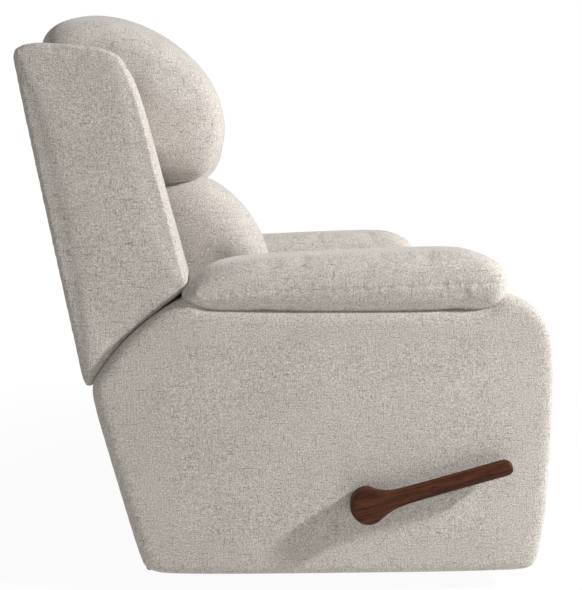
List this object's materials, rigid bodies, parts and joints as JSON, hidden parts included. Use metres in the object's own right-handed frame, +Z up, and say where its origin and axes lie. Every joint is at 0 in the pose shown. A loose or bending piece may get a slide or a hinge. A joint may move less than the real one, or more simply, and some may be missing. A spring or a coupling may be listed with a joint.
{
  "type": "rocker recliner",
  "caption": "Upholstered rocker recliner with padded arms, winged back, pillow cushions, side handle, linkage footrest and rocking base.",
  "frame": {"origin": "on the floor, at the middle of the underside of the base's centre board", "axes": "+X to the front, +Y to the sitter's left, +Z up"},
  "size_m": [0.9564, 0.957, 1.119],
  "materials": {
    "black_wood": "black lacquered hardwood",
    "rubber": "matt rubber strip",
    "spring_steel": "oil-tempered spring wire",
    "zinc_steel": "zinc-plated steel",
    "frame_wood": "plain sawn hardwood and plywood",
    "upholstery": "warm grey woven tweed",
    "painted_steel": "black powder coat",
    "nylon": "natural nylon",
    "handle_wood": "dark reddish-brown stained, satin lacquer"
  },
  "bodies": {
    "base": {"base_side_rail_right": "black_wood", "base_side_rail_left": "black_wood", "base_cross_rails": "black_wood", "base_centre_board": "black_wood", "wear_strips": "rubber", "spring_lower_seats": "zinc_steel", "rocker_springs": "spring_steel"},
    "chair_frame": {"rocker_cam_right": "frame_wood", "rocker_cam_left": "frame_wood", "seat_rails": "frame_wood", "spring_upper_seats": "zinc_steel", "arm_cover_right": "upholstery", "arm_cover_left": "upholstery", "arm_frame_right": "frame_wood", "arm_frame_left": "frame_wood", "arm_pad_right": "upholstery", "arm_pad_left": "upholstery", "mechanism_plate_right": "painted_steel", "mechanism_plate_left": "painted_steel", "plate_bolts": "zinc_steel", "link_rivets": "zinc_steel", "shaft_bushings": "nylon", "hinge_plate_right": "painted_steel", "hinge_plate_left": "painted_steel", "pivot_pins": "zinc_steel", "seat_guide_right": "painted_steel", "seat_guide_left": "painted_steel"},
    "handle": {"wooden_handle": "handle_wood", "handle_screw": "zinc_steel", "drive_shaft": "zinc_steel"},
    "link_a": {"link_a_right": "painted_steel", "link_a_left": "painted_steel"},
    "link_b": {"link_b_right": "painted_steel", "link_b_left": "painted_steel"},
    "link_c": {"link_c_right": "painted_steel", "link_c_left": "painted_steel"},
    "link_d": {"link_d_right": "painted_steel", "link_d_left": "painted_steel"},
    "crank_link": {"crank_link_right": "painted_steel", "crank_link_left": "painted_steel"},
    "footrest": {"footrest_bracket_right": "painted_steel", "footrest_bracket_left": "painted_steel", "footrest_board": "frame_wood", "footrest_cushion": "upholstery"},
    "seat": {"seat_frame": "frame_wood", "seat_sliders": "nylon", "seat_springs": "spring_steel", "seat_cushion": "upholstery"},
    "back": {"back_frame": "frame_wood", "back_cover": "upholstery", "back_wing_right": "upholstery", "back_wing_left": "upholstery", "back_bracket_right": "painted_steel", "back_bracket_left": "painted_steel", "headrest_pillow": "upholstery", "lumbar_pillow": "upholstery"},
    "seat_drive_link": {"seat_drive_link_right": "painted_steel", "seat_drive_link_left": "painted_steel"}
  },
  "joints": [
    {"name": "rock", "type": "hinge", "parent": "base", "child": "chair_frame", "pos_m": [0, 0, 0.038], "axis": [0, 1, 0], "range_deg": [-5, 5], "stiffness_Nm_per_rad": 900, "deforming": ["rocker_springs", "wear_strips"]},
    {"name": "handle_turn", "type": "hinge", "parent": "chair_frame", "child": "handle", "pos_m": [0.042, 0, 0.17], "axis": [0, -1, 0], "range_deg": [0, 94]},
    {"name": "link_a_turn", "type": "hinge", "parent": "chair_frame", "child": "link_a", "pos_m": [0.224, 0, 0.325], "axis": [0, -1, 0], "range_deg": [0, 94.19]},
    {"name": "link_b_turn", "type": "hinge", "parent": "chair_frame", "child": "link_b", "pos_m": [0.194, 0, 0.334], "axis": [0, -1, 0], "range_deg": [0, 95.6]},
    {"name": "link_c_turn", "type": "hinge", "parent": "link_a", "child": "link_c", "pos_m": [0.1485, 0, 0.1165], "axis": [0, -1, 0], "range_deg": [-82.73, 0]},
    {"name": "link_d_turn", "type": "hinge", "parent": "link_b", "child": "link_d", "pos_m": [0.1215, 0, 0.182], "axis": [0, -1, 0], "range_deg": [-86.45, 0]},
    {"name": "footrest_turn", "type": "hinge", "parent": "link_c", "child": "footrest", "pos_m": [0.306, 0, 0.221], "axis": [0, -1, 0], "range_deg": [0, 82.78]},
    {"name": "crank_link_turn", "type": "hinge", "parent": "handle", "child": "crank_link", "pos_m": [0.02668, 0, 0.12769], "axis": [0, -1, 0], "range_deg": [-94.19, 0]},
    {"name": "back_recline", "type": "hinge", "parent": "chair_frame", "child": "back", "pos_m": [-0.375, 0, 0.3], "axis": [0, -1, 0], "range_deg": [0, 25]},
    {"name": "seat_glide", "type": "slide", "parent": "chair_frame", "child": "seat", "axis": [0.9833, 0, 0.1822], "range_m": [0, 0.04337]},
    {"name": "seat_link_turn", "type": "hinge", "parent": "back", "child": "seat_drive_link", "pos_m": [-0.37849, 0, 0.20006], "axis": [0, -1, 0], "range_deg": [-25.05, 0]}
  ],
  "couplings": [
    {"joint": "link_a_turn", "follows": "handle_turn", "ratio": 1},
    {"joint": "link_b_turn", "follows": "handle_turn", "ratio": 1.015},
    {"joint": "link_c_turn", "follows": "handle_turn", "ratio": -0.87835},
    {"joint": "link_d_turn", "follows": "handle_turn", "ratio": -0.91787},
    {"joint": "footrest_turn", "follows": "handle_turn", "ratio": 0.87886},
    {"joint": "crank_link_turn", "follows": "handle_turn", "ratio": -1},
    {"joint": "seat_glide", "follows": "back_recline", "m_per_rad": 0.099209},
    {"joint": "seat_link_turn", "follows": "back_recline", "ratio": -1}
  ]
}
